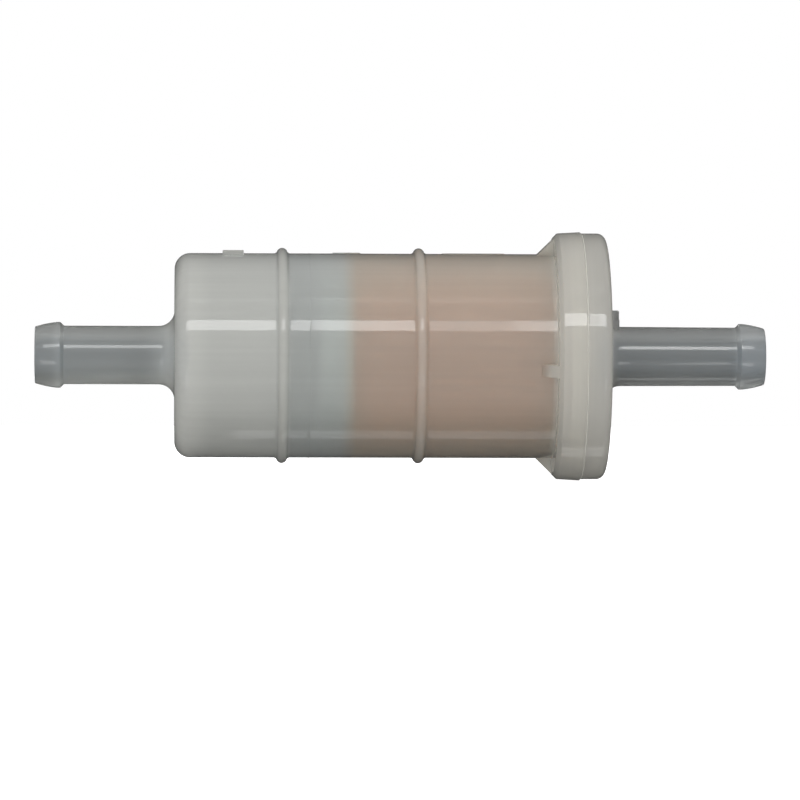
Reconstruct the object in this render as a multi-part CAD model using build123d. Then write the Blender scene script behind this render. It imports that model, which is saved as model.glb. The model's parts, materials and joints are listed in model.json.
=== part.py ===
from build123d import *
from math import cos, pi, radians, sin
import os

# In-line fuel filter for a small engine, in millimetres.
#
# A cup-shaped translucent casing and a flat cover, each moulded with a barbed hose stem, are
# welded together round a tongue and groove.  Inside, a pleated paper element stands between two
# moulded end caps on a windowed core tube.  Fuel enters the casing, passes inwards through the
# paper and leaves through the core, the cover's spigot and the outlet stem.
#
# Frame: +X runs along the axis in the direction of flow, +Z is up, and the origin is on the axis
# half-way between the two stem tips.

# Driving dimensions
OVERALL_LENGTH = 100.0
HOSE_BORE = 8.0
BODY_DIAMETER = 28.0
WALL = 1.6

# Hose stems, the same at both ends
STEM_R = HOSE_BORE / 2
PORT_R = 2.6
CREST_R = STEM_R + 0.5
TIP_R = STEM_R - 0.13
BARB_LENGTH = 3.95
CREST_LAND = 0.5
CREST_BACK = CREST_R - STEM_R
ROOT_FILLET = 2.15
BARB_BULGE = 0.08
TIP_EDGE = 0.12

# Casing
INLET_TIP_X = -OVERALL_LENGTH / 2
INLET_STEM = 19.05
CASING_FACE_X = INLET_TIP_X + INLET_STEM
BODY_R = BODY_DIAMETER / 2
SHOULDER_FILLET = 2.15
END_WALL = 1.9
CHAMBER_X = CASING_FACE_X + END_WALL
CHAMBER_R = BODY_R - 2.4
CHAMBER_FILLET = 1.2
BORE_R = BODY_R - WALL
HOOP_XS = (-16.25, 2.45)
HOOP_R = 0.75
HOOP_ROOT_FILLET = 0.2
WITNESS_X = -12.55
WITNESS_SIZE = (0.16, 0.05)
STEP_X = HOOP_XS[0] + HOOP_R + 0.05
FLANGE_X = 20.85
FLANGE_R = 16.87
FLANGE_DRAFT = 0.19
FLANGE_CHAMFER = 0.6
FLANGE_EDGE = 0.2
PARTING_X = 24.65
MOUTH_R = 13.6
MOUTH_X = 22.6

# Weld joint between the casing and the cover
GROOVE_RS = (14.5, 15.9)
GROOVE_DEPTH = 2.0
TONGUE_GAP = 0.12
TONGUE_LENGTH = 1.75
WELD_GAP = 0.15
FLASH_RS = (16.2, 16.84)

# Cover
COVER_BACK_X = PARTING_X + WELD_GAP
COVER_FACE_X = 28.05
COVER_WALL = 2.0
COVER_INNER_X = COVER_FACE_X - COVER_WALL
COVER_FILLET = 1.15
OUTLET_TIP_X = OVERALL_LENGTH / 2
OUTLET_STEM_DRAFT = 0.08
PILOT_RS = (12.6, MOUTH_R - 0.12)
PILOT_LENGTH = 1.4
SEAT_RS = (7.6, 8.8)
SPIGOT_R = 4.6
SPIGOT_X = 20.45
SEAL_GROOVE_XS = (22.25, 23.95)
SEAL_GROOVE_R = 3.65

# Marks and lugs moulded on the outside
LUG_HEIGHT = 1.95
LUG_TOP_Z = 6.3
LUG_SHOULDER_Z = 5.15
LUG_TOP_HALF = 1.1
LUG_SHOULDER_HALF = 1.9
DATE_PAD_X = -22.95
DATE_PAD_SIZE = (2.85, 5.4)
DATE_PAD_RISE = 0.36
ARROW_X = -7.4
ARROW_LENGTH = 3.9
ARROW_WIDTH = 2.8
ARROW_SHAFT_WIDTH = 1.0
ARROW_RISE = 0.12
NAME_STRIP_X = 9.95
NAME_STRIP_SIZE = (8.6, 4.4)
NAME_STRIP_RISE = 0.06
WEB_COUNT = 4
WEB_ANGLE = 8.2
WEB_WIDTH = 1.7

# Filter element
ELEMENT_R = 11.7
CAP_FLOOR = 1.1
CAP_RIM = 0.75
CLOSED_CAP_X = -11.15
CLOSED_RIM_LENGTH = 3.3
OPEN_CAP_X = 25.45
OPEN_FLOOR = 1.0
OPEN_RIM_LENGTH = 2.6
HUB_R = SPIGOT_R + 0.15
HUB_WALL = 1.0
HUB_X = 20.75
STUB_LENGTH = 2.5
FIN_COUNT = 4
FIN_WIDTH = 1.2
FIN_R = BORE_R - 0.1
FIN_SETBACK = 0.3
CORE_RS = (HUB_R + HUB_WALL + 0.05, 6.5)
WINDOW_SIZE = (3.4, 3.2)
WINDOW_ROWS = 7
WINDOWS_ROUND = 6
PLEATS = 36
PLEAT_RS = (6.75, 10.7)
PAPER = 0.3
POTTING = 1.7
PAPER_END_GAP = 0.6
SEAM_THICKNESS = 0.22
SEAM_SHARES = (0.08, 0.55)
SEAM_GAP = 0.02
SEAL_WIDTH = 1.4
SEAL_CLEARANCE = 0.01

# Places inside the element that follow from the sizes above
CLOSED_FLOOR_X = CLOSED_CAP_X + CAP_FLOOR
OPEN_FLOOR_X = OPEN_CAP_X - OPEN_FLOOR
PAPER_XS = (CLOSED_FLOOR_X + PAPER_END_GAP, OPEN_FLOOR_X - PAPER_END_GAP)
RIM_INNER_R = ELEMENT_R - CAP_RIM


def turned(face):
    """The solid swept by a face, drawn as x along the axis and y outwards, about the axis."""
    return revolve(face, Axis.X, 360)


def ring(x_low, x_high, r_low, r_high):
    """A plain ring about the axis, or a disc where the inner radius is zero."""
    points = [(x_low, r_low), (x_high, r_low), (x_high, r_high), (x_low, r_high)]
    return turned(make_face(Polyline(*points, close=True)))


def corner(face, x, r):
    """The corner of a drawn face that lies nearest to a point."""
    return face.vertices().sort_by_distance((x, r, 0))[0]


def rounded(face, x, r, radius):
    """The face with one of its corners rounded."""
    return fillet(corner(face, x, r), radius)


def around(shape, angle):
    """A shape turned about the axis, from the top towards the back."""
    return Rot(X=-angle) * shape


def barb(tip_x, inward):
    """Outline of one barb, from the port's edge to the plain stem behind it."""
    crest_front = BARB_LENGTH - CREST_BACK - CREST_LAND
    crest_rear = BARB_LENGTH - CREST_BACK
    tip = (tip_x, TIP_R)
    crest_start = (tip_x + inward * crest_front, CREST_R)
    crest_end = (tip_x + inward * crest_rear, CREST_R)
    neck = (tip_x + inward * BARB_LENGTH, STEM_R)
    middle = (tip_x + inward * crest_front / 2, (TIP_R + CREST_R) / 2 + BARB_BULGE)
    return [
        Line((tip_x, PORT_R), tip),
        ThreePointArc(tip, middle, crest_start),
        Polyline(crest_start, crest_end, neck),
    ]


def casing_section():
    """Half section of the casing, without the marks and webs on its outside."""
    groove_x = PARTING_X - GROOVE_DEPTH
    outside = Polyline(
        (INLET_TIP_X + BARB_LENGTH, STEM_R),
        (CASING_FACE_X, STEM_R),
        (CASING_FACE_X, BODY_R),
        (FLANGE_X, BODY_R),
        (FLANGE_X, FLANGE_R - FLANGE_CHAMFER),
        (FLANGE_X + FLANGE_CHAMFER, FLANGE_R),
        (PARTING_X, FLANGE_R + FLANGE_DRAFT),
    )
    joint = Polyline(
        (PARTING_X, FLANGE_R + FLANGE_DRAFT),
        (PARTING_X, GROOVE_RS[1]),
        (groove_x, GROOVE_RS[1]),
        (groove_x, GROOVE_RS[0]),
        (PARTING_X, GROOVE_RS[0]),
        (PARTING_X, MOUTH_R),
    )
    inside = Polyline(
        (PARTING_X, MOUTH_R),
        (MOUTH_X, MOUTH_R),
        (MOUTH_X - MOUTH_R + BORE_R, BORE_R),
        (STEP_X, BORE_R),
        (STEP_X, CHAMBER_R),
        (CHAMBER_X, CHAMBER_R),
        (CHAMBER_X, PORT_R),
        (INLET_TIP_X, PORT_R),
    )
    face = make_face(Curve() + [*barb(INLET_TIP_X, 1), outside, joint, inside])
    face = rounded(face, CASING_FACE_X, STEM_R, ROOT_FILLET)
    face = rounded(face, CASING_FACE_X, BODY_R, SHOULDER_FILLET)
    face = rounded(face, CHAMBER_X, CHAMBER_R, CHAMBER_FILLET)
    face = rounded(face, PARTING_X, FLANGE_R + FLANGE_DRAFT, FLANGE_EDGE)
    face = rounded(face, INLET_TIP_X, TIP_R, TIP_EDGE)
    for hoop_x in HOOP_XS:
        face += Pos(hoop_x, BODY_R) * Circle(HOOP_R)
        for side in (-1, 1):
            face = rounded(face, hoop_x + side * HOOP_R, BODY_R, HOOP_ROOT_FILLET)
    return face


def shell_patch(face, rise):
    """A drawn patch, seen from above, raised by a set height over the body's surface."""
    column = extrude(Plane.XY.offset(BODY_R - WALL / 2) * face, BODY_R)
    return column & ring(CHAMBER_X, FLANGE_X, BODY_R - WALL / 2, BODY_R + rise)


def date_pad():
    """A flat blank pad on top of the body, where a date code is stamped."""
    length, width = DATE_PAD_SIZE
    height = WALL / 2 + DATE_PAD_RISE
    pad = Pos(DATE_PAD_X, 0, BODY_R + DATE_PAD_RISE - height / 2) * Box(length, width, height)
    return pad


def flow_arrow():
    """A raised arrow that points along the flow."""
    tail_x = ARROW_X - ARROW_LENGTH / 2
    head_x = ARROW_X
    tip_x = ARROW_X + ARROW_LENGTH / 2
    half_shaft = ARROW_SHAFT_WIDTH / 2
    half_head = ARROW_WIDTH / 2
    outline = Polyline(
        (tail_x, -half_shaft),
        (head_x, -half_shaft),
        (head_x, -half_head),
        (tip_x, 0),
        (head_x, half_head),
        (head_x, half_shaft),
        (tail_x, half_shaft),
        close=True,
    )
    return shell_patch(make_face(outline), ARROW_RISE)


def name_strip():
    """A raised blank strip with round ends, in place of lettering."""
    length, width = NAME_STRIP_SIZE
    return shell_patch(Pos(NAME_STRIP_X, 0) * SlotOverall(length, width), NAME_STRIP_RISE)


def web():
    """A 45-degree web that stiffens the flange against the body."""
    foot_r = BODY_R - WALL / 2
    top_x = FLANGE_X + FLANGE_CHAMFER
    outline = Polyline(
        (top_x - (FLANGE_R - foot_r), foot_r),
        (top_x, foot_r),
        (top_x, FLANGE_R),
        close=True,
    )
    plane = Plane((0, -WEB_WIDTH / 2, 0), x_dir=(1, 0, 0), z_dir=(0, -1, 0))
    return extrude(plane * make_face(outline), -WEB_WIDTH)


def casing():
    """The cup with its inlet stem, two hoops, mould line, grooved flange and webs."""
    solid = turned(casing_section())
    width, rise = WITNESS_SIZE
    solid += ring(WITNESS_X - width / 2, WITNESS_X + width / 2, BORE_R, BODY_R + rise)
    solid += date_pad()
    solid += flow_arrow()
    solid += name_strip()
    for index in range(WEB_COUNT):
        solid += around(web(), 360 / WEB_COUNT * index - WEB_ANGLE)
    return solid


def cover_section():
    """Half section of the cover, from the spigot inside to the outlet stem."""
    tongue_rs = (GROOVE_RS[0] + TONGUE_GAP, GROOVE_RS[1] - TONGUE_GAP)
    tongue_x = COVER_BACK_X - TONGUE_LENGTH
    pilot_x = COVER_BACK_X - PILOT_LENGTH
    seat_x = OPEN_CAP_X
    inside = Polyline(
        (OUTLET_TIP_X, PORT_R),
        (SPIGOT_X, PORT_R),
        (SPIGOT_X, SPIGOT_R),
        (SEAL_GROOVE_XS[0], SPIGOT_R),
        (SEAL_GROOVE_XS[0], SEAL_GROOVE_R),
        (SEAL_GROOVE_XS[1], SEAL_GROOVE_R),
        (SEAL_GROOVE_XS[1], SPIGOT_R),
        (COVER_INNER_X, SPIGOT_R),
        (COVER_INNER_X, SEAT_RS[0]),
        (seat_x, SEAT_RS[0]),
        (seat_x, SEAT_RS[1]),
        (COVER_INNER_X, SEAT_RS[1]),
        (COVER_INNER_X, PILOT_RS[0]),
        (pilot_x, PILOT_RS[0]),
        (pilot_x, PILOT_RS[1]),
        (COVER_BACK_X, PILOT_RS[1]),
        (COVER_BACK_X, tongue_rs[0]),
        (tongue_x, tongue_rs[0]),
        (tongue_x, tongue_rs[1]),
        (COVER_BACK_X, tongue_rs[1]),
        (COVER_BACK_X, FLANGE_R),
    )
    outside = Polyline(
        (COVER_BACK_X, FLANGE_R),
        (COVER_FACE_X, FLANGE_R),
        (COVER_FACE_X, STEM_R + OUTLET_STEM_DRAFT),
        (OUTLET_TIP_X - BARB_LENGTH, STEM_R),
    )
    face = make_face(Curve() + [*barb(OUTLET_TIP_X, -1), inside, outside])
    face = rounded(face, COVER_FACE_X, FLANGE_R, COVER_FILLET)
    face = rounded(face, COVER_FACE_X, STEM_R + OUTLET_STEM_DRAFT, ROOT_FILLET)
    face = rounded(face, SPIGOT_X, SPIGOT_R, HUB_WALL / 4)
    face = rounded(face, OUTLET_TIP_X, TIP_R, TIP_EDGE)
    return face


def cover_lug():
    """The stepped key that stands on the cover's face above the outlet stem."""
    foot_z = STEM_R - WALL / 2
    outline = Polyline(
        (-LUG_SHOULDER_HALF, foot_z),
        (LUG_SHOULDER_HALF, foot_z),
        (LUG_SHOULDER_HALF, LUG_SHOULDER_Z),
        (LUG_TOP_HALF, LUG_SHOULDER_Z),
        (LUG_TOP_HALF, LUG_TOP_Z),
        (-LUG_TOP_HALF, LUG_TOP_Z),
        (-LUG_TOP_HALF, LUG_SHOULDER_Z),
        (-LUG_SHOULDER_HALF, LUG_SHOULDER_Z),
        close=True,
    )
    start_x = COVER_FACE_X - COVER_WALL / 2
    block = extrude(Plane.YZ.offset(start_x) * make_face(outline), LUG_HEIGHT + COVER_WALL / 2)
    return block - ring(start_x, COVER_FACE_X + LUG_HEIGHT, 0, (PORT_R + STEM_R) / 2)


def cover():
    """The flat end cover with its tongue, spigot and outlet stem."""
    return turned(cover_section()) + cover_lug()


def weld_bead():
    """Plastic melted out of the joint: a bead in the groove and a thin line at the parting."""
    tongue_x = COVER_BACK_X - TONGUE_LENGTH
    inner_bead = ring(PARTING_X - GROOVE_DEPTH, tongue_x, *GROOVE_RS)
    outer_line = ring(PARTING_X, COVER_BACK_X, *FLASH_RS)
    return [inner_bead, outer_line]


def closed_end_cap():
    """The dish that closes the element at the inlet side, with fins that centre it."""
    solid = ring(CLOSED_CAP_X, CLOSED_FLOOR_X, 0, ELEMENT_R)
    solid += ring(CLOSED_FLOOR_X, CLOSED_FLOOR_X + CLOSED_RIM_LENGTH, RIM_INNER_R, ELEMENT_R)
    solid += ring(CLOSED_FLOOR_X, CLOSED_FLOOR_X + STUB_LENGTH, HUB_R, HUB_R + HUB_WALL)
    low_x = CLOSED_CAP_X + FIN_SETBACK
    high_x = CLOSED_FLOOR_X + CLOSED_RIM_LENGTH - FIN_SETBACK
    sleeve = ring(low_x, high_x, RIM_INNER_R, FIN_R)
    slab = Pos((low_x + high_x) / 2, 0, FIN_R) * Box(high_x - low_x, FIN_WIDTH, FIN_R)
    for index in range(FIN_COUNT):
        solid += sleeve & around(slab, 360 / FIN_COUNT * (index + 0.5))
    return solid


def open_end_cap():
    """The dish at the outlet side, with the hub that the cover's spigot plugs into."""
    rim_x = OPEN_FLOOR_X - OPEN_RIM_LENGTH
    solid = ring(OPEN_FLOOR_X, OPEN_CAP_X, HUB_R, ELEMENT_R)
    solid += ring(rim_x, OPEN_FLOOR_X, RIM_INNER_R, ELEMENT_R)
    solid += ring(HUB_X, OPEN_FLOOR_X, HUB_R, HUB_R + HUB_WALL)
    return solid


def core_tube():
    """The support tube inside the pleats, with rows of windows for the fuel."""
    solid = ring(CLOSED_FLOOR_X, OPEN_FLOOR_X, *CORE_RS)
    length = OPEN_FLOOR_X - CLOSED_FLOOR_X
    pitch = length / (WINDOW_ROWS + 1)
    cutters = []
    for row in range(WINDOW_ROWS):
        window_x = CLOSED_FLOOR_X + pitch * (row + 1)
        cutter = Pos(window_x, 0, CORE_RS[1]) * Box(WINDOW_SIZE[0], WINDOW_SIZE[1], CORE_RS[1])
        for index in range(WINDOWS_ROUND):
            cutters.append(around(cutter, 360 / WINDOWS_ROUND * (index + row % 2 / 2)))
    return solid - cutters


def polar(radius, angle):
    """A point round the axis, in a drawing whose plane is square to the axis."""
    return Vector(radius * cos(angle), radius * sin(angle))


def pleat_lines():
    """The outer and inner edge of the folded paper, as two closed rings of points."""
    pitch = 2 * pi / PLEATS
    valley_r, peak_r = PLEAT_RS
    fold_depth = 1.2 * PAPER
    peak_half = PAPER / peak_r
    valley_half = PAPER / valley_r
    outer, inner = [], []
    for index in range(PLEATS):
        peak = index * pitch
        valley = peak + pitch / 2
        outer.append(polar(peak_r, peak - peak_half))
        outer.append(polar(peak_r, peak + peak_half))
        outer.append(polar(valley_r + fold_depth, valley))
        inner.append(polar(peak_r - fold_depth, peak))
        inner.append(polar(valley_r, valley - valley_half))
        inner.append(polar(valley_r, valley + valley_half))
    return outer, inner


def pleated_paper():
    """The folded filter paper, standing between the end caps."""
    outer, inner = pleat_lines()
    face = make_face(Polyline(*outer, close=True)) - make_face(Polyline(*inner, close=True))
    return extrude(Plane.YZ.offset(PAPER_XS[0]) * face, PAPER_XS[1] - PAPER_XS[0])


def potting(x_low, x_high, paper):
    """A bed of adhesive in an end cap, with the paper's edge sunk in it."""
    return ring(x_low, x_high, CORE_RS[1], RIM_INNER_R) - paper


def seam_strip():
    """The strip of glue that joins the paper's two ends, along one pleat's side."""
    outer, _ = pleat_lines()
    top, bottom = outer[1], outer[2]
    along = bottom - top
    across = Vector(-along.Y, along.X).normalized()
    if across.dot(top.rotate(Axis.Z, 90)) < 0:
        across = -across
    start = top + along * SEAM_SHARES[0] + across * SEAM_GAP
    end = top + along * SEAM_SHARES[1] + across * SEAM_GAP
    width = across * SEAM_THICKNESS
    face = make_face(Polyline(start, end, end + width, start + width, close=True))
    x_low = CLOSED_FLOOR_X + POTTING
    x_high = OPEN_FLOOR_X - POTTING
    return extrude(Plane.YZ.offset(x_low) * face, x_high - x_low)


def spigot_seal():
    """The O-ring, as squeezed between the spigot's groove and the end cap's hub."""
    centre_x = sum(SEAL_GROOVE_XS) / 2
    low_r = SEAL_GROOVE_R + SEAL_CLEARANCE
    high_r = HUB_R - SEAL_CLEARANCE
    section = Pos(centre_x, (low_r + high_r) / 2) * Ellipse(SEAL_WIDTH / 2, (high_r - low_r) / 2)
    return turned(section)


def build():
    """Every sub-part by name."""
    paper = pleated_paper()
    inlet_bed = (CLOSED_FLOOR_X, CLOSED_FLOOR_X + POTTING)
    outlet_bed = (OPEN_FLOOR_X - POTTING, OPEN_FLOOR_X)
    return {
        "casing": casing(),
        "cover": cover(),
        "weld_bead": weld_bead(),
        "closed_end_cap": closed_end_cap(),
        "open_end_cap": open_end_cap(),
        "core_tube": core_tube(),
        "pleated_paper": paper,
        "seam_strip": seam_strip(),
        "inlet_potting": potting(*inlet_bed, paper),
        "outlet_potting": potting(*outlet_bed, paper),
        "spigot_seal": spigot_seal(),
    }


os.makedirs("parts", exist_ok=True)
for name, shape in build().items():
    solids = shape if isinstance(shape, list) else [shape]
    export_step(Compound(children=solids), f"parts/{name}.step")
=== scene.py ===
import json
import math

import bmesh
import bpy
from mathutils import Matrix, Vector, noise


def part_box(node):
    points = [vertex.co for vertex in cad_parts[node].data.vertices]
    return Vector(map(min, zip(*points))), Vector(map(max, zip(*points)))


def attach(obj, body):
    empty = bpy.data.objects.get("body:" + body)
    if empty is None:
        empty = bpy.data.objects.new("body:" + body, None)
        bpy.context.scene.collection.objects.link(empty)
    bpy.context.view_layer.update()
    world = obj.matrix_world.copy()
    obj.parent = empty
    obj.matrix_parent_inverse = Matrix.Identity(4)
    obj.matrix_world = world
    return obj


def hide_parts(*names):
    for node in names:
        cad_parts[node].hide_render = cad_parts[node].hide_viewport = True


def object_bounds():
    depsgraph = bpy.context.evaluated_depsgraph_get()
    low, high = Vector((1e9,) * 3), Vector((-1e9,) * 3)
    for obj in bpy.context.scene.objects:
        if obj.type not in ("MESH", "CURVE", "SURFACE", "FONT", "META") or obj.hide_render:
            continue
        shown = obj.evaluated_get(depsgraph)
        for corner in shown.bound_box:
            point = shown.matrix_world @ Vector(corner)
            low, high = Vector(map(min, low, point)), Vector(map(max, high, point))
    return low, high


# The looks of a translucent in-line fuel filter: +X is the flow's direction, +Z is up, and the
# axis runs through the origin.  All lengths are in metres.

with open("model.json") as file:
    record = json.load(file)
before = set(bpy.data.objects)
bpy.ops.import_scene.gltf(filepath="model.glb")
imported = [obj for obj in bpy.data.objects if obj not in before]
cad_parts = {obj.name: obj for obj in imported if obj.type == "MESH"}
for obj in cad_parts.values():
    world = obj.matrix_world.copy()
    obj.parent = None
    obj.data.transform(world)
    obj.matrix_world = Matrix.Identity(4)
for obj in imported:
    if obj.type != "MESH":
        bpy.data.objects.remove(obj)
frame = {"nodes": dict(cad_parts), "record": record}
cad_low, cad_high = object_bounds()
mounts = {mount["name"]: mount for mount in frame["record"]["mounts"]}

MM = 0.001

# Sizes that the frame gives
INLET_TIP_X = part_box("casing")[0].x
PARTING_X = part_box("casing")[1].x
FLANGE_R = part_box("casing")[1].y
OUTLET_TIP_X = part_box("cover")[1].x
SPIGOT_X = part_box("cover")[0].x
COVER_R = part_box("cover")[1].y
CREST_R = mounts["inlet_barb"]["dims"]["r_mm"] * MM
PORT_R = mounts["inlet_bore"]["dims"]["r_mm"] * MM
BODY_R = mounts["body_band"]["dims"]["r_mm"] * MM
CHAMBER_X = INLET_TIP_X + mounts["inlet_bore"]["dims"]["length_mm"] * MM
PAPER_XS = (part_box("pleated_paper")[0].x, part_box("pleated_paper")[1].x)
CAP_RIM_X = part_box("closed_end_cap")[1].x
BAND_X = mounts["body_band"]["pos_m"][0]
BAND_LENGTH = mounts["body_band"]["dims"]["length_mm"] * MM

# Hose stems
STEM_R = 4.0 * MM
TIP_R = 3.87 * MM
BARB_FRONT = 2.95 * MM
BARB_LAND = 0.5 * MM
BARB_BULGE = 0.08 * MM
ROOT_FILLET = 2.15 * MM
OUTLET_ROOT_R = 4.08 * MM

# Casing
CASING_FACE_X = INLET_TIP_X + 19.05 * MM
SHOULDER_FILLET = 2.15 * MM
CHAMBER_R = 11.6 * MM
BORE_R = 12.4 * MM
MOUTH_R = 13.6 * MM
HOOP_R = 0.75 * MM
HOOP_ROOT = 0.2 * MM
HOOP_XS = (BAND_X - BAND_LENGTH / 2 - HOOP_R, BAND_X + BAND_LENGTH / 2 + HOOP_R)
STEP_X = HOOP_XS[0] + HOOP_R + 0.05 * MM
WITNESS_X = -12.55 * MM
WITNESS_RISE = 0.05 * MM
FLANGE_X = 20.85 * MM
FLANGE_CHAMFER = 0.6 * MM
MOUTH_X = 22.6 * MM
GROOVE_RS = (14.5 * MM, 15.9 * MM)
GROOVE_DEPTH = 2.0 * MM
WELD_LINE_R = 16.2 * MM

# Cover
COVER_BACK_X = PARTING_X + 0.15 * MM
COVER_FACE_X = COVER_BACK_X + 3.25 * MM
COVER_INNER_X = COVER_FACE_X - 2.0 * MM
COVER_FILLET = 1.15 * MM
TONGUE_RS = (14.62 * MM, 15.78 * MM)
TONGUE_X = COVER_BACK_X - 1.75 * MM
PILOT_RS = (12.6 * MM, 13.48 * MM)
PILOT_X = COVER_BACK_X - 1.4 * MM
SEAT_RS = (7.6 * MM, 8.8 * MM)
SEAT_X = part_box("open_end_cap")[1].x
SPIGOT_R = 4.6 * MM
SEAL_GROOVE_XS = (22.25 * MM, 23.95 * MM)
SEAL_GROOVE_R = 3.65 * MM

# Marks and lugs
DATE_PAD_X = -22.95 * MM
DATE_PAD_SIZE = (2.85 * MM, 5.4 * MM, 0.36 * MM)
ARROW_X = -7.4 * MM
ARROW_LENGTH = 3.9 * MM
ARROW_WIDTH = 2.8 * MM
ARROW_SHAFT = 1.0 * MM
ARROW_RISE = 0.12 * MM
STRIP_X = 9.95 * MM
STRIP_SIZE = (8.6 * MM, 4.4 * MM)
STRIP_RISE = 0.06 * MM
MARK_ROOT = 0.4 * MM
WEB_COUNT = 4
WEB_ANGLE = math.radians(8.2)
WEB_WIDTH = 1.7 * MM
WEB_ROOT = 0.8 * MM
LUG_HEIGHT = 1.95 * MM
LUG_TOP_Z = 6.3 * MM
LUG_SHOULDER_Z = 5.15 * MM
LUG_TOP_HALF = 1.1 * MM
LUG_SHOULDER_HALF = 1.9 * MM

# Element
PLEATS = 36
PLEAT_RS = (6.75 * MM, 10.7 * MM)
PAPER = 0.3 * MM
FOLD_ROUNDING = 0.08
FOLD_SHIFT = 0.055

# How far the folds lean, in radians, and what makes each lean differently
FOLD_LEAN = 0.012
FOLD_PHASE = 5.3

# How finely the pieces are drawn
TURNS = 192
ARC_STEP = math.radians(9)
LONGEST_RUN = 1.6 * MM
BARB_STEPS = 8
HOOP_STEPS = 12
STRIP_END_STEPS = 12
FOLD_STEPS = 20
PAPER_STATIONS = 12

# Cuts on each side of a mark's middle line, and their spacing, so that it can bend
WRAP_CUTS = 8
WRAP_PITCH = 0.4 * MM


# ---------------------------------------------------------------- outlines and turned pieces


def arc(corner, before, after, radius):
    """Points of the arc that rounds one corner of an outline."""
    towards_before = (before - corner).normalized()
    towards_after = (after - corner).normalized()
    half_turn = (math.pi - towards_before.angle(towards_after)) / 2
    reach = radius * math.tan(half_turn)
    start = corner + towards_before * reach
    centre = corner + (towards_before + towards_after).normalized() * radius / math.cos(half_turn)
    spoke = start - centre
    side = 1 if towards_before.cross(towards_after) < 0 else -1
    steps = max(2, math.ceil(2 * half_turn / ARC_STEP))
    turn = side * 2 * half_turn / steps
    return [centre + Matrix.Rotation(turn * step, 2) @ spoke for step in range(steps + 1)]


def outline(corners):
    """A closed outline from (x, r) or (x, r, rounding radius) corners, with no run too long."""
    points = []
    places = [Vector(corner[:2]) for corner in corners]
    for index, corner in enumerate(corners):
        before = places[index - 1]
        after = places[(index + 1) % len(places)]
        if len(corner) == 3:
            points += arc(places[index], before, after, corner[2])
        else:
            points.append(places[index])
    filled = []
    for index, start in enumerate(points):
        end = points[(index + 1) % len(points)]
        pieces = max(1, math.ceil((end - start).length / LONGEST_RUN))
        filled += [start.lerp(end, step / pieces) for step in range(pieces)]
    return filled


def new_object(name, mesh):
    """An object for a mesh, linked to the scene."""
    piece = bpy.data.objects.new(name, mesh)
    bpy.context.scene.collection.objects.link(piece)
    return piece


def finished(piece, sharp=math.radians(38)):
    """The piece with smooth faces that meet sharply where they turn by more than an angle."""
    piece.data.polygons.foreach_set("use_smooth", [True] * len(piece.data.polygons))
    piece.data.set_sharp_from_angle(angle=sharp)
    normals = piece.modifiers.new("flat_runs", "WEIGHTED_NORMAL")
    normals.keep_sharp = True
    normals.weight = 75
    return piece


def turned(name, corners, wobble=None):
    """A piece turned about the axis from an outline; wobble moves each point of it a little."""
    points = outline(corners)
    mesh = bmesh.new()
    rings = []
    for index in range(TURNS):
        angle = 2 * math.pi * index / TURNS
        ring = []
        for point in points:
            place = Vector((point.x, point.y * math.sin(angle), point.y * math.cos(angle)))
            ring.append(mesh.verts.new(wobble(place) if wobble else place))
        rings.append(ring)
    for index, ring in enumerate(rings):
        following = rings[(index + 1) % TURNS]
        for step in range(len(points)):
            ahead = (step + 1) % len(points)
            mesh.faces.new((ring[step], ring[ahead], following[ahead], following[step]))
    bmesh.ops.recalc_face_normals(mesh, faces=mesh.faces)
    data = bpy.data.meshes.new(name)
    mesh.to_mesh(data)
    mesh.free()
    return new_object(name, data)


def prism(corners, depth, edge):
    """A block from corners in its own x and y, raised by depth, with softened top edges."""
    mesh = bmesh.new()
    base = mesh.faces.new([mesh.verts.new((x, y, 0)) for x, y in corners])
    raised = bmesh.ops.extrude_face_region(mesh, geom=[base])["geom"]
    top = [item for item in raised if isinstance(item, bmesh.types.BMVert)]
    bmesh.ops.translate(mesh, verts=top, vec=(0, 0, depth))
    bmesh.ops.recalc_face_normals(mesh, faces=mesh.faces)
    if edge:
        upper = [line for line in mesh.edges if all(vert in top for vert in line.verts)]
        posts = [line for line in mesh.edges if sum(vert in top for vert in line.verts) == 1]
        bmesh.ops.bevel(mesh, geom=upper + posts, offset=edge, segments=3, affect="EDGES")
    return mesh


def wrapped(mesh, radius):
    """The block bent round a cylinder: its x stays, its y runs round, its z stands out."""
    for step in range(-WRAP_CUTS, WRAP_CUTS + 1):
        everything = mesh.verts[:] + mesh.edges[:] + mesh.faces[:]
        middle = (0, step * WRAP_PITCH, 0)
        bmesh.ops.bisect_plane(mesh, geom=everything, plane_co=middle, plane_no=(0, 1, 0))
    for vert in mesh.verts:
        reach = radius + vert.co.z
        angle = vert.co.y / radius
        vert.co = (vert.co.x, -reach * math.sin(angle), reach * math.cos(angle))
    return mesh


def as_object(mesh, name, matrix=Matrix.Identity(4)):
    """A scene object from a bmesh, moved by a matrix."""
    mesh.transform(matrix)
    data = bpy.data.meshes.new(name)
    mesh.to_mesh(data)
    mesh.free()
    return new_object(name, data)


def united(piece, extras):
    """The piece made one with some more closed shapes, which are used up."""
    for extra in extras:
        modifier = piece.modifiers.new(extra.name, "BOOLEAN")
        modifier.operation = "UNION"
        modifier.solver = "EXACT"
        modifier.object = extra
    evaluated = piece.evaluated_get(bpy.context.evaluated_depsgraph_get())
    whole = bpy.data.meshes.new_from_object(evaluated)
    piece.modifiers.clear()
    piece.data = whole
    for extra in extras:
        bpy.data.objects.remove(extra)
    return piece


# ---------------------------------------------------------------- outer mouldings


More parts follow.
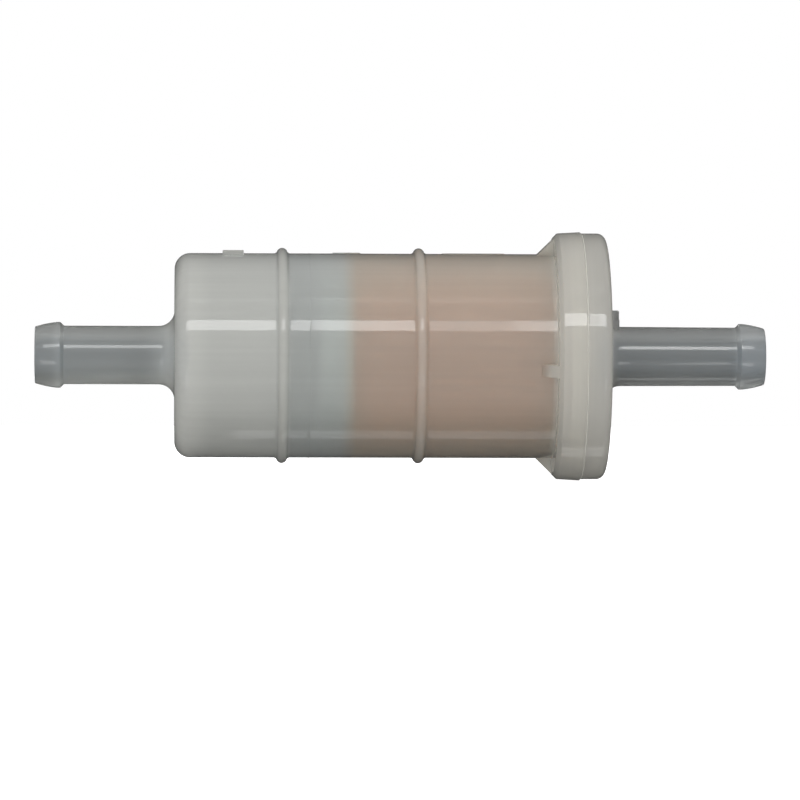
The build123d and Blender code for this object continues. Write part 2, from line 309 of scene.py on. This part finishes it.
def barb(tip_x, inward):
    """Corners of one barb, from its tip to the stem behind it."""
    corners = [(tip_x, PORT_R, 0.15 * MM), (tip_x, TIP_R, 0.12 * MM)]
    for step in range(1, BARB_STEPS + 1):
        share = step / BARB_STEPS
        bulge = 4 * BARB_BULGE * share * (1 - share)
        radius = TIP_R + (CREST_R - TIP_R) * share + bulge
        corners.append((tip_x + inward * BARB_FRONT * share, radius))
    corners.append((tip_x + inward * (BARB_FRONT + BARB_LAND), CREST_R, 0.1 * MM))
    neck_x = tip_x + inward * (BARB_FRONT + BARB_LAND + CREST_R - STEM_R)
    corners.append((neck_x, STEM_R, 0.25 * MM))
    return corners


def hoop(x):
    """Corners of one half-round hoop on the body."""
    corners = [(x - HOOP_R - HOOP_ROOT, BODY_R, 0.35 * MM)]
    for step in range(1, HOOP_STEPS):
        angle = math.pi * (1 - step / HOOP_STEPS)
        corners.append((x + HOOP_R * math.cos(angle), BODY_R + HOOP_R * math.sin(angle)))
    corners.append((x + HOOP_R + HOOP_ROOT, BODY_R, 0.35 * MM))
    return corners


def witness_line():
    """Corners of the fine raised line where two parts of the mould met."""
    half = WITNESS_RISE * 1.5
    return [
        (WITNESS_X - half, BODY_R),
        (WITNESS_X, BODY_R + WITNESS_RISE),
        (WITNESS_X + half, BODY_R),
    ]


def casing_corners():
    """Half section of the casing."""
    groove_x = PARTING_X - GROOVE_DEPTH
    return [
        *barb(INLET_TIP_X, 1),
        (CASING_FACE_X, STEM_R, ROOT_FILLET),
        (CASING_FACE_X, BODY_R, SHOULDER_FILLET),
        *hoop(HOOP_XS[0]),
        *witness_line(),
        *hoop(HOOP_XS[1]),
        (FLANGE_X, BODY_R, 0.15 * MM),
        (FLANGE_X, COVER_R - FLANGE_CHAMFER, 0.25 * MM),
        (FLANGE_X + FLANGE_CHAMFER, COVER_R, 0.25 * MM),
        (PARTING_X, FLANGE_R, 0.15 * MM),
        (PARTING_X, GROOVE_RS[1]),
        (groove_x, GROOVE_RS[1]),
        (groove_x, GROOVE_RS[0]),
        (PARTING_X, GROOVE_RS[0]),
        (PARTING_X, MOUTH_R, 0.2 * MM),
        (MOUTH_X, MOUTH_R, 0.3 * MM),
        (MOUTH_X - MOUTH_R + BORE_R, BORE_R, 0.3 * MM),
        (STEP_X, BORE_R, 0.3 * MM),
        (STEP_X, CHAMBER_R, 0.3 * MM),
        (CHAMBER_X, CHAMBER_R, 1.2 * MM),
        (CHAMBER_X, PORT_R, 0.5 * MM),
    ]


def cover_corners():
    """Half section of the cover."""
    return [
        *barb(OUTLET_TIP_X, -1),
        (COVER_FACE_X, OUTLET_ROOT_R, ROOT_FILLET),
        (COVER_FACE_X, COVER_R, COVER_FILLET),
        (COVER_BACK_X, COVER_R, 0.05 * MM),
        (COVER_BACK_X, TONGUE_RS[1]),
        (TONGUE_X, TONGUE_RS[1]),
        (TONGUE_X, TONGUE_RS[0]),
        (COVER_BACK_X, TONGUE_RS[0]),
        (COVER_BACK_X, PILOT_RS[1]),
        (PILOT_X, PILOT_RS[1]),
        (PILOT_X, PILOT_RS[0]),
        (COVER_INNER_X, PILOT_RS[0]),
        (COVER_INNER_X, SEAT_RS[1]),
        (SEAT_X, SEAT_RS[1]),
        (SEAT_X, SEAT_RS[0]),
        (COVER_INNER_X, SEAT_RS[0]),
        (COVER_INNER_X, SPIGOT_R),
        (SEAL_GROOVE_XS[1], SPIGOT_R),
        (SEAL_GROOVE_XS[1], SEAL_GROOVE_R),
        (SEAL_GROOVE_XS[0], SEAL_GROOVE_R),
        (SEAL_GROOVE_XS[0], SPIGOT_R),
        (SPIGOT_X, SPIGOT_R, 0.25 * MM),
        (SPIGOT_X, PORT_R, 0.2 * MM),
    ]


def rectangle(length, width):
    """Corners of a rectangle about its centre."""
    x, y = length / 2, width / 2
    return [(-x, -y), (x, -y), (x, y), (-x, y)]


def slot_outline(length, width):
    """Corners of a strip with round ends."""
    corners = []
    for end, first in ((1, -90), (-1, 90)):
        for step in range(STRIP_END_STEPS + 1):
            angle = math.radians(first + 180 * step / STRIP_END_STEPS)
            x = end * (length - width) / 2 + width / 2 * math.cos(angle)
            corners.append((x, width / 2 * math.sin(angle)))
    return corners


def arrow_outline():
    """Corners of the flow arrow, which points along +X."""
    tail, tip = -ARROW_LENGTH / 2, ARROW_LENGTH / 2
    shaft, head = ARROW_SHAFT / 2, ARROW_WIDTH / 2
    return [(tail, -shaft), (0, -shaft), (0, -head), (tip, 0), (0, head), (0, shaft), (tail, shaft)]


def surface_mark(name, corners, x, rise):
    """A low raised mark on top of the body, bent to its curve."""
    block = prism(corners, rise + MARK_ROOT, rise / 2)
    return as_object(wrapped(block, BODY_R - MARK_ROOT), name, Matrix.Translation((x, 0, 0)))


def date_pad():
    """The flat blank pad on top of the body."""
    length, width, rise = DATE_PAD_SIZE
    root = 1.0 * MM
    block = prism(rectangle(length, width), rise + root, 0.05 * MM)
    place = Matrix.Translation((DATE_PAD_X, 0, BODY_R - root))
    return as_object(block, "date_pad", place)


def web(angle):
    """A 45-degree web between body and flange, at an angle from the top."""
    foot = BODY_R - WEB_ROOT
    top_x = FLANGE_X + FLANGE_CHAMFER
    corners = [(top_x - COVER_R + foot, foot), (top_x, foot), (top_x, COVER_R - 0.05 * MM)]
    block = prism(corners, WEB_WIDTH, 0)
    bmesh.ops.bevel(block, geom=block.edges[:], offset=0.1 * MM, segments=2, affect="EDGES")
    upright = Matrix(((1, 0, 0, 0), (0, 0, -1, WEB_WIDTH / 2), (0, 1, 0, 0), (0, 0, 0, 1)))
    return as_object(block, "web", Matrix.Rotation(angle, 4, "X") @ upright)


def cover_lug():
    """The stepped key on the cover's face above the outlet stem."""
    foot = 3.3 * MM
    inside = 0.6 * MM
    half = [(LUG_SHOULDER_HALF, foot), (LUG_SHOULDER_HALF, LUG_SHOULDER_Z)]
    half += [(LUG_TOP_HALF, LUG_SHOULDER_Z), (LUG_TOP_HALF, LUG_TOP_Z)]
    corners = half + [(-y, z) for y, z in reversed(half)]
    block = prism(corners, LUG_HEIGHT + inside, 0.12 * MM)
    turn = Matrix(((0, 0, 1, 0), (1, 0, 0, 0), (0, 1, 0, 0), (0, 0, 0, 1)))
    return as_object(block, "lug", Matrix.Translation((COVER_FACE_X - inside, 0, 0)) @ turn)


def make_casing():
    """The casing with its pad, arrow, strip and webs."""
    extras = [date_pad()]
    extras.append(surface_mark("arrow", arrow_outline(), ARROW_X, ARROW_RISE))
    extras.append(surface_mark("strip", slot_outline(*STRIP_SIZE), STRIP_X, STRIP_RISE))
    for index in range(WEB_COUNT):
        extras.append(web(2 * math.pi * index / WEB_COUNT + WEB_ANGLE))
    return finished(united(turned("casing_moulding", casing_corners()), extras))


def make_cover():
    """The cover with its lug."""
    return finished(united(turned("cover_moulding", cover_corners()), [cover_lug()]))


# ---------------------------------------------------------------- weld and element


def uneven(size, pitch):
    """A wobble that pushes points in and out by up to a size, over bumps of a pitch."""

    def wobble(place):
        outward = Vector((0, place.y, place.z)).normalized()
        return place + outward * size * noise.noise(place / pitch)

    return wobble


def make_weld():
    """The remelted bead in the groove and the thin uneven line at the parting."""
    gap = 0.01 * MM
    low, high = PARTING_X + gap, COVER_BACK_X - gap
    foot, edge = WELD_LINE_R, COVER_R - 0.03 * MM
    line = turned(
        "weld_line",
        [(low, foot), (low, edge, 0.03 * MM), (high, edge, 0.03 * MM), (high, foot)],
        uneven(0.02 * MM, 1.2 * MM),
    )
    groove_x = PARTING_X - GROOVE_DEPTH + gap
    low_r, high_r = GROOVE_RS[0] + gap, GROOVE_RS[1] - gap
    bead = turned(
        "weld_bead_inner",
        [
            (groove_x, low_r),
            (TONGUE_X - gap, low_r, 0.1 * MM),
            (TONGUE_X - gap, high_r, 0.1 * MM),
            (groove_x, high_r),
        ],
    )
    return [finished(line), finished(bead)]


def pleat_edge(offset):
    """One edge of the folded paper as (y, z) points: rounded folds joined by flat sides."""
    valley, peak = PLEAT_RS[0] + PAPER / 2, PLEAT_RS[1] - PAPER / 2
    points = []
    for index in range(PLEATS * FOLD_STEPS):
        share = index / FOLD_STEPS
        wave = math.cos(2 * math.pi * share)
        bent = wave * (1.5 - 0.5 * wave * wave) * (1 - FOLD_ROUNDING * abs(wave))
        radius = (valley + peak) / 2 + (peak - valley) / 2 * bent / (1 - FOLD_ROUNDING)
        swing = FOLD_LEAN * math.sin(FOLD_PHASE * int(share + 0.5))
        lean = swing * (radius - valley) / (peak - valley)
        triangle = (2 / math.pi) * math.asin(math.sin(2 * math.pi * share))
        angle = 2 * math.pi * (share - FOLD_SHIFT * triangle) / PLEATS + lean
        points.append(Vector((radius, angle)))
    places = [Vector((p.x * math.sin(p.y), p.x * math.cos(p.y))) for p in points]
    moved = []
    for index, place in enumerate(places):
        along = (places[(index + 1) % len(places)] - places[index - 1]).normalized()
        moved.append(place + Vector((-along.y, along.x)) * offset)
    return moved


def make_paper():
    """The folded filter paper: an outer and an inner wall, joined at both ends."""
    outer, inner = pleat_edge(PAPER / 2), pleat_edge(-PAPER / 2)
    length = PAPER_XS[1] - PAPER_XS[0]
    mesh = bmesh.new()
    walls = []
    for edge in (outer, inner):
        wall = []
        for station in range(PAPER_STATIONS + 1):
            x = PAPER_XS[0] + length * station / PAPER_STATIONS
            wall.append([mesh.verts.new((x, point.x, point.y)) for point in edge])
        walls.append(wall)
    count = len(outer)
    for wall in walls:
        for station in range(PAPER_STATIONS):
            for index in range(count):
                ahead = (index + 1) % count
                low, high = wall[station], wall[station + 1]
                mesh.faces.new((low[index], low[ahead], high[ahead], high[index]))
    for station in (0, PAPER_STATIONS):
        for index in range(count):
            ahead = (index + 1) % count
            out, back = walls[0][station], walls[1][station]
            mesh.faces.new((out[index], out[ahead], back[ahead], back[index]))
    bmesh.ops.recalc_face_normals(mesh, faces=mesh.faces)
    return finished(as_object(mesh, "paper_folds"), math.radians(60))


# ---------------------------------------------------------------- materials

# The dark blue on the skin of the bores, which is painted shade standing in for the dark bore seen
# through the stem walls; the nylon's colour on the flange; and how clear its milky parts are
BORE_PAINTED_SHADE = (0.15, 0.27, 0.38)
FLANGE_TINT = (0.89, 0.87, 0.80)
MILKY_CLEARNESS = 0.6


class Shader:
    """A material with one Principled shader, and short ways to add nodes to it."""

    def __init__(self, name, **values):
        self.material = bpy.data.materials.new(name)
        self.material.use_nodes = True
        self.tree = self.material.node_tree
        self.principled = self.tree.nodes["Principled BSDF"]
        for socket, value in values.items():
            self.principled.inputs[socket.replace("_", " ")].default_value = value
        coordinates = self.tree.nodes.new("ShaderNodeTexCoord")
        self.place = coordinates.outputs["Object"]

    def node(self, kind, **settings):
        """A new node of a kind, with its settings."""
        made = self.tree.nodes.new(kind)
        for name, value in settings.items():
            setattr(made, name, value)
        return made

    def link(self, output, target):
        """Joins an output to an input."""
        self.tree.links.new(output, target)

    def noise(self, size, detail=3.0, stretch=(1, 1, 1)):
        """Noise from 0 to 1 with features of a size in metres."""
        mapping = self.node("ShaderNodeMapping")
        mapping.inputs["Scale"].default_value = stretch
        self.link(self.place, mapping.inputs["Vector"])
        texture = self.node("ShaderNodeTexNoise")
        texture.inputs["Scale"].default_value = 1 / size
        texture.inputs["Detail"].default_value = detail
        self.link(mapping.outputs["Vector"], texture.inputs["Vector"])
        return texture.outputs["Fac"]

    def spread(self, source, low, high, start=0.0, end=1.0):
        """The source's range start to end, spread over low to high."""
        spread = self.node("ShaderNodeMapRange")
        ranges = {"From Min": start, "From Max": end, "To Min": low, "To Max": high}
        for socket, value in ranges.items():
            spread.inputs[socket].default_value = value
        self.link(source, spread.inputs["Value"])
        return spread.outputs["Result"]

    def along_axis(self, stops):
        """A colour that changes along X, from (x, colour) stops."""
        split = self.node("ShaderNodeSeparateXYZ")
        self.link(self.place, split.inputs["Vector"])
        share = self.spread(split.outputs["X"], 0, 1, INLET_TIP_X, OUTLET_TIP_X)
        ramp = self.node("ShaderNodeValToRGB")
        elements = ramp.color_ramp.elements
        while len(elements) < len(stops):
            elements.new(0.5)
        for element, (x, colour) in zip(elements, stops):
            element.position = (x - INLET_TIP_X) / (OUTLET_TIP_X - INLET_TIP_X)
            element.color = (*colour, 1)
        self.link(share, ramp.inputs["Fac"])
        return ramp.outputs["Color"]

    def from_axis(self, low, high):
        """0 nearer to the axis than a radius, rising to 1 beyond a second one."""
        flat = self.node("ShaderNodeVectorMath", operation="MULTIPLY")
        flat.inputs[1].default_value = (0, 1, 1)
        self.link(self.place, flat.inputs[0])
        length = self.node("ShaderNodeVectorMath", operation="LENGTH")
        self.link(flat.outputs["Vector"], length.inputs[0])
        return self.spread(length.outputs["Value"], 0, 1, low, high)

    def mixed(self, factor, first, second, blend="MIX"):
        """Two colours, each an output or three numbers, mixed by a factor."""
        mix = self.node("ShaderNodeMix", data_type="RGBA", blend_type=blend)
        colours = [socket for socket in mix.inputs if socket.type == "RGBA"]
        for socket, colour in zip(colours, (first, second)):
            if isinstance(colour, tuple):
                socket.default_value = (*colour, 1)
            else:
                self.link(colour, socket)
        if isinstance(factor, float):
            mix.inputs["Factor"].default_value = factor
        else:
            self.link(factor, mix.inputs["Factor"])
        return next(output for output in mix.outputs if output.type == "RGBA")

    def scaled(self, colour, factor):
        """A colour or a grey times a factor from another output."""
        scale = self.node("ShaderNodeVectorMath", operation="SCALE")
        self.link(colour, scale.inputs[0])
        self.link(factor, scale.inputs["Scale"])
        return scale.outputs["Vector"]

    def bump(self, height, distance, strength=1.0):
        """A bump on the surface from a height of 0 to 1 over a distance in metres."""
        bump = self.node("ShaderNodeBump")
        bump.inputs["Strength"].default_value = strength
        bump.inputs["Distance"].default_value = distance
        self.link(height, bump.inputs["Height"])
        self.link(bump.outputs["Normal"], self.principled.inputs["Normal"])

    def feed(self, output, socket):
        """Joins an output to an input of the Principled shader."""
        self.link(output, self.principled.inputs[socket])


def grey(level):
    """A grey, for a number that is carried by a colour."""
    return (level, level, level)


def housing_tint_and_painted_light(shader):
    """The nylon's colour along the filter, with painted light and shade in it: stems greyed by
    painted shade, deeper on the outlet stem; whiter walls; a warm painted glow over the paper,
    standing in for light passed between wall and paper; and a painted lightening of the lip next to
    the flange, where the flange's shade falls.
    """
    # The stems' greys are painted shade, darker on the outlet stem than on the inlet
    inlet_stem_shaded, outlet_stem_shaded = (0.755, 0.765, 0.72), (0.615, 0.63, 0.605)
    inlet_crest, outlet_barb = (0.92, 0.93, 0.89), (0.88, 0.90, 0.88)
    thick, thin = (0.81, 0.82, 0.785), (0.92, 0.95, 0.935)
    # lip is painted light: it lightens the wall just before the flange, where the flange's shade
    # falls
    end_wall, lip = (0.94, 0.945, 0.90), (0.98, 0.925, 0.82)
    # warm is a painted glow: light passed between the wall and the paper behind it
    warm, rim = (0.93, 0.86, 0.75), (0.95, 0.92, 0.86)
    return shader.along_axis(
        [
            (INLET_TIP_X + 2.2 * MM, inlet_stem_shaded),
            (INLET_TIP_X + 3.2 * MM, inlet_crest),
            (INLET_TIP_X + 4.0 * MM, inlet_stem_shaded),
            (CASING_FACE_X - 4.5 * MM, inlet_stem_shaded),
            (CASING_FACE_X - 1.5 * MM, thick),
            (CASING_FACE_X + 1.2 * MM, end_wall),
            (CASING_FACE_X + 5.0 * MM, thick),
            (STEP_X - 1.5 * MM, thick),
            (STEP_X + 0.5 * MM, thin),
            (CAP_RIM_X - 1.5 * MM, thin),
            (CAP_RIM_X + 0.5 * MM, warm),
            (FLANGE_X - 4.0 * MM, warm),
            (FLANGE_X - 1.0 * MM, lip),
            (FLANGE_X - 0.1 * MM, FLANGE_TINT),
            (PARTING_X, FLANGE_TINT),
            (COVER_FACE_X - 1.5 * MM, rim),
            (COVER_FACE_X + 0.2 * MM, rim),
            (COVER_FACE_X + 1.6 * MM, outlet_stem_shaded),
            (OUTLET_TIP_X - 4.4 * MM, outlet_stem_shaded),
            (OUTLET_TIP_X - 3.8 * MM, outlet_barb),
        ]
    )


def housing_clearness(shader):
    """How much light passes the nylon along the filter, as greys."""
    inlet, outlet = grey(0.81), grey(0.85)
    clear, milky = grey(0.85), grey(MILKY_CLEARNESS)
    return shader.along_axis(
        [
            (CASING_FACE_X - 4 * MM, inlet),
            (CASING_FACE_X - 1 * MM, milky),
            (STEP_X - 1.5 * MM, milky),
            (STEP_X + 0.5 * MM, clear),
            (FLANGE_X - 0.8 * MM, clear),
            (FLANGE_X - 0.1 * MM, milky),
            (COVER_FACE_X + 0.2 * MM, milky),
            (COVER_FACE_X + 1.6 * MM, outlet),
        ]
    )


def housing_softness(shader):
    """The nylon's roughness along the filter, which blurs what is behind it, as greys."""
    fine, soft = grey(0.36), grey(0.6)
    return shader.along_axis(
        [
            (CASING_FACE_X - 2 * MM, fine),
            (CASING_FACE_X, soft),
            (COVER_FACE_X - 1.0 * MM, soft),
            (COVER_FACE_X + 1.0 * MM, fine),
        ]
    )


def housing_material():
    """Natural nylon: milky, with moulding streaks under a glossy moulded skin."""
    shader = Shader(
        "natural_nylon",
        Roughness=0.5,
        IOR=1.45,
        Coat_Weight=1.0,
        Coat_Roughness=0.035,
        Coat_IOR=1.5,
        Specular_IOR_Level=0.3,
    )
    # The bores' skin takes the painted shade; outer rises to 1 away from it
    outer = shader.from_axis(PORT_R, STEM_R)
    raised = shader.from_axis(BODY_R + 0.1 * MM, BODY_R + 1.3 * MM)
    # The tint along X carries painted shade on the stems and painted light over the paper and at
    # the lip
    tint = shader.mixed(outer, BORE_PAINTED_SHADE, housing_tint_and_painted_light(shader))
    tint = shader.mixed(raised, tint, FLANGE_TINT)
    tint = shader.scaled(tint, shader.spread(shader.noise(9 * MM, 2.0), 0.95, 1.0))
    along = shader.spread(shader.noise(0.7 * MM, 2.0, (0.02, 1, 1)), 0.93, 1.05)
    around = shader.spread(shader.noise(0.5 * MM, 2.0, (1, 0.02, 0.02)), 0.96, 1.03)
    streaks = shader.mixed(raised, along, around)
    shader.feed(shader.mixed(1.0, tint, streaks, "MULTIPLY"), "Base Color")
    clearness = housing_clearness(shader)
    shader.feed(shader.mixed(raised, clearness, grey(MILKY_CLEARNESS)), "Transmission Weight")
    grain = shader.noise(1.2 * MM, 4.0)
    softness = shader.scaled(housing_softness(shader), shader.spread(grain, 0.94, 1.06))
    shader.feed(softness, "Roughness")
    shader.bump(grain, 0.01 * MM, 0.5)
    return shader.material


def element_plastic_material():
    """Pale moulded plastic of the element's caps and core."""
    shader = Shader("element_plastic", Roughness=0.5, Subsurface_Weight=0.1)
    shader.principled.inputs["Subsurface Radius"].default_value = (1.0, 0.9, 0.8)
    shader.principled.inputs["Subsurface Scale"].default_value = 0.6 * MM
    cloud = shader.noise(4 * MM)
    shader.feed(shader.mixed(cloud, (0.33, 0.36, 0.33), (0.40, 0.43, 0.40)), "Base Color")
    grain = shader.noise(0.4 * MM, 4.0)
    shader.feed(shader.spread(grain, 0.4, 0.6), "Roughness")
    shader.bump(grain, 0.01 * MM)
    return shader.material


def paper_material():
    """Resin-treated filter paper: pinkish fibres with darker flecks."""
    shader = Shader("filter_paper", Roughness=0.9)
    fibres = shader.noise(0.35 * MM, 6.0, (0.4, 1, 1))
    cloud = shader.noise(3 * MM)
    base = shader.mixed(cloud, (0.68, 0.385, 0.235), (0.72, 0.42, 0.275))
    flecked = shader.mixed(shader.spread(fibres, 0, 0.35), base, (0.60, 0.28, 0.18))
    shader.feed(flecked, "Base Color")
    shader.feed(shader.spread(fibres, 0.8, 1.0), "Roughness")
    shader.bump(fibres, 0.04 * MM)
    return shader.material


def potting_material():
    """Set adhesive, cream, with small waves in its surface."""
    shader = Shader("potting_resin", Roughness=0.35, Subsurface_Weight=0.15)
    shader.principled.inputs["Subsurface Scale"].default_value = 0.5 * MM
    cloud = shader.noise(2 * MM)
    shader.feed(shader.mixed(cloud, (0.74, 0.66, 0.50), (0.84, 0.79, 0.66)), "Base Color")
    shader.feed(shader.spread(cloud, 0.3, 0.45), "Roughness")
    shader.bump(cloud, 0.1 * MM)
    return shader.material


def weld_material():
    """Remelted nylon: opaque, cloudy and less glossy than the mouldings."""
    shader = Shader("remelted_nylon", Roughness=0.45, Coat_Weight=0.4, Coat_Roughness=0.1)
    cloud = shader.noise(1.0 * MM)
    shader.feed(shader.mixed(cloud, (0.78, 0.76, 0.70), (0.88, 0.86, 0.80)), "Base Color")
    shader.feed(shader.spread(cloud, 0.35, 0.6), "Roughness")
    shader.bump(cloud, 0.05 * MM)
    return shader.material


def rubber_material():
    """Black nitrile rubber with a slight bloom."""
    shader = Shader("nitrile_rubber", Roughness=0.6)
    bloom = shader.noise(0.8 * MM)
    shader.feed(shader.mixed(bloom, (0.015, 0.015, 0.016), (0.04, 0.04, 0.042)), "Base Color")
    shader.feed(shader.spread(bloom, 0.5, 0.75), "Roughness")
    shader.bump(bloom, 0.02 * MM)
    return shader.material


def paint(piece, material):
    """Gives a piece, or a CAD node, one material."""
    piece.data.materials.clear()
    piece.data.materials.append(material)


def install(piece, node, material):
    """Paints a piece and puts it in the place of a CAD node."""
    paint(piece, material)
    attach(piece, "root")
    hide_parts(node)


# ---------------------------------------------------------------- the studio

CAMERA_AZIMUTH = math.radians(-2.2)
CAMERA_ROLL = math.radians(0.15)
CAMERA_DISTANCE = 0.75
CAMERA_LENS = 246.0
AIM = Vector((-0.00001, 0, -0.00606))
FLOOR_SIZE = 3.0
FLOOR_GAP = 0.02 * MM
LAMP_DISTANCE = 0.5

# The key is a row of soft boxes: where each begins and ends along X, and how bright each is
KEY_ELEVATION = 33.2
KEY_HEIGHT = 0.103
KEY_EDGES = (-0.30, -0.076, -0.0326, 0.0233, 0.044, 0.066, 0.112, 0.30)
KEY_LEVELS = (4.0, 4.5, 5.0, 2.3, 4.2, 6.2, 4.0)

# The small lamps under the hose stems
STEM_LAMP_SIZE = (0.014, 0.05)
STEM_LAMP_SPREAD = math.radians(30)
STEM_LAMP_DEPTH = 0.05

# The dome above and in front: its level against the share of the way to its brightest point
DOME_ELEVATION = 30
DOME = ((0.0, 0.03), (0.30, 0.15), (0.60, 0.84), (1.0, 0.92))


def direction(azimuth, elevation):
    """From the object towards a point round it: azimuth 0 is the front, 90 the right."""
    a, e = math.radians(azimuth), math.radians(elevation)
    return Vector((math.sin(a) * math.cos(e), -math.cos(a) * math.cos(e), math.sin(e)))


def make_camera():
    """A long lens almost straight in front, level, with the filter a little above the middle."""
    camera = bpy.data.cameras.new("camera")
    camera.lens = CAMERA_LENS
    camera.sensor_width = 36.0
    camera.clip_start = 0.01
    camera.clip_end = 20.0
    eye = bpy.data.objects.new("camera", camera)
    bpy.context.scene.collection.objects.link(eye)
    back = direction(math.degrees(CAMERA_AZIMUTH), 0)
    facing = (-back).to_track_quat("-Z", "Y").to_matrix().to_4x4()
    place = Matrix.Translation(AIM + back * CAMERA_DISTANCE)
    eye.matrix_world = place @ facing @ Matrix.Rotation(CAMERA_ROLL, 4, "Z")
    bpy.context.scene.camera = eye


def make_lamp(name, azimuth, elevation, width, height, radiance, shift=0.0, gloss=True):
    """A soft box that faces the filter, and works only in its gloss or only in its matt colour."""
    light = bpy.data.lights.new(name, "AREA")
    light.shape = "RECTANGLE"
    light.size = width
    light.size_y = height
    light.energy = radiance * math.pi * width * height
    lamp = bpy.data.objects.new(name, light)
    bpy.context.scene.collection.objects.link(lamp)
    back = direction(azimuth, elevation)
    lamp.location = back * LAMP_DISTANCE + Vector((shift, 0, 0))
    lamp.rotation_mode = "QUATERNION"
    lamp.rotation_quaternion = (-back).to_track_quat("-Z", "Y")
    lamp.visible_camera = False
    lamp.visible_transmission = False
    lamp.visible_glossy = gloss
    lamp.visible_diffuse = not gloss


def make_stem_lamp(name, x, radiance):
    """A small gridded soft box under a hose stem, which works only in its matt colour."""
    light = bpy.data.lights.new(name, "AREA")
    light.shape = "RECTANGLE"
    light.size, light.size_y = STEM_LAMP_SIZE
    light.energy = radiance * math.pi * light.size * light.size_y
    light.spread = STEM_LAMP_SPREAD
    lamp = bpy.data.objects.new(name, light)
    bpy.context.scene.collection.objects.link(lamp)
    lamp.location = (x, 0, -STEM_LAMP_DEPTH)
    lamp.rotation_euler = (math.pi, 0, 0)
    lamp.visible_camera = False
    lamp.visible_transmission = False
    lamp.visible_glossy = False


def make_lamps():
    """The key above the front, the stems' lamps, and fills that show as fainter bands and spots."""
    for index, radiance in enumerate(KEY_LEVELS):
        low, high = KEY_EDGES[index], KEY_EDGES[index + 1]
        middle = (low + high) / 2
        make_lamp(f"key_{index}", 0, KEY_ELEVATION, high - low, KEY_HEIGHT, radiance, middle)
    make_stem_lamp("under_inlet", (INLET_TIP_X + CASING_FACE_X) / 2, 0.9)
    make_stem_lamp("under_outlet", (OUTLET_TIP_X + COVER_FACE_X) / 2, 0.5)
    make_lamp("top_band", 0, 64, width=0.30, height=0.06, radiance=0.5)
    make_lamp("low_band", 180, -80, width=0.30, height=0.12, radiance=0.8, shift=0.131)
    make_lamp("left_spot", -28, -26, width=0.17, height=0.12, radiance=1.8)
    make_lamp("right_spot", 23, -26, width=0.19, height=0.10, radiance=1.8)
    make_lamp("left_strip", -58, 5, width=0.04, height=0.3, radiance=1.0)
    make_lamp("back_fill", 180, 5, width=0.8, height=0.5, radiance=1.4, gloss=False)


def make_world():
    """White to the camera; for the light, a wide soft dome in front and above."""
    world = bpy.data.worlds.new("studio")
    bpy.context.scene.world = world
    world.use_nodes = True
    tree = world.node_tree
    tree.nodes.clear()
    coordinates = tree.nodes.new("ShaderNodeTexCoord")
    facing = tree.nodes.new("ShaderNodeVectorMath")
    facing.operation = "DOT_PRODUCT"
    facing.inputs[1].default_value = direction(0, DOME_ELEVATION)
    tree.links.new(coordinates.outputs["Generated"], facing.inputs[0])
    share = tree.nodes.new("ShaderNodeMapRange")
    share.inputs["From Min"].default_value = -1.0
    share.inputs["From Max"].default_value = 1.0
    tree.links.new(facing.outputs["Value"], share.inputs["Value"])
    ramp = tree.nodes.new("ShaderNodeValToRGB")
    elements = ramp.color_ramp.elements
    while len(elements) < len(DOME):
        elements.new(0.5)
    for element, (position, level) in zip(elements, DOME):
        element.position = position
        element.color = (level, level, level, 1)
    tree.links.new(share.outputs["Result"], ramp.inputs["Fac"])
    dome = tree.nodes.new("ShaderNodeBackground")
    tree.links.new(ramp.outputs["Color"], dome.inputs["Color"])
    white = tree.nodes.new("ShaderNodeBackground")
    white.inputs["Color"].default_value = (1, 1, 1, 1)
    path = tree.nodes.new("ShaderNodeLightPath")
    mix = tree.nodes.new("ShaderNodeMixShader")
    tree.links.new(path.outputs["Is Camera Ray"], mix.inputs["Fac"])
    tree.links.new(dome.outputs["Background"], mix.inputs[1])
    tree.links.new(white.outputs["Background"], mix.inputs[2])
    output = tree.nodes.new("ShaderNodeOutputWorld")
    tree.links.new(mix.outputs["Shader"], output.inputs["Surface"])


def make_floor():
    """A plain pale floor just under the flange, which only the camera sees."""
    mesh = bmesh.new()
    bmesh.ops.create_grid(mesh, x_segments=8, y_segments=8, size=FLOOR_SIZE / 2)
    under = Matrix.Translation((0, 0, cad_low.z - FLOOR_GAP))
    floor = as_object(mesh, "floor", under)
    floor.visible_diffuse = False
    floor.visible_glossy = False
    floor.visible_transmission = False
    floor.visible_shadow = False
    material = bpy.data.materials.new("floor_paper")
    material.use_nodes = True
    tree = material.node_tree
    shader = tree.nodes["Principled BSDF"]
    shader.inputs["Base Color"].default_value = (0.9, 0.9, 0.9, 1)
    shader.inputs["Roughness"].default_value = 0.9
    shader.inputs["Specular IOR Level"].default_value = 0.0
    shader.inputs["Emission Color"].default_value = (1, 1, 1, 1)
    shader.inputs["Emission Strength"].default_value = 0.85
    floor.data.materials.append(material)


# ---------------------------------------------------------------- putting it together

nylon = housing_material()
plastic = element_plastic_material()
resin = potting_material()
seal = rubber_material()
remelted = weld_material()
folded = paper_material()

install(make_casing(), "casing", nylon)
install(make_cover(), "cover", nylon)
for piece in make_weld():
    install(piece, "weld_bead", remelted)
install(make_paper(), "pleated_paper", folded)

for node in ("closed_end_cap", "open_end_cap", "core_tube"):
    paint(frame["nodes"][node], plastic)
for node in ("inlet_potting", "outlet_potting", "seam_strip"):
    paint(frame["nodes"][node], resin)
paint(frame["nodes"]["spigot_seal"], seal)

make_camera()
make_lamps()
make_world()
make_floor()
bpy.context.scene.view_settings.view_transform = "Standard"
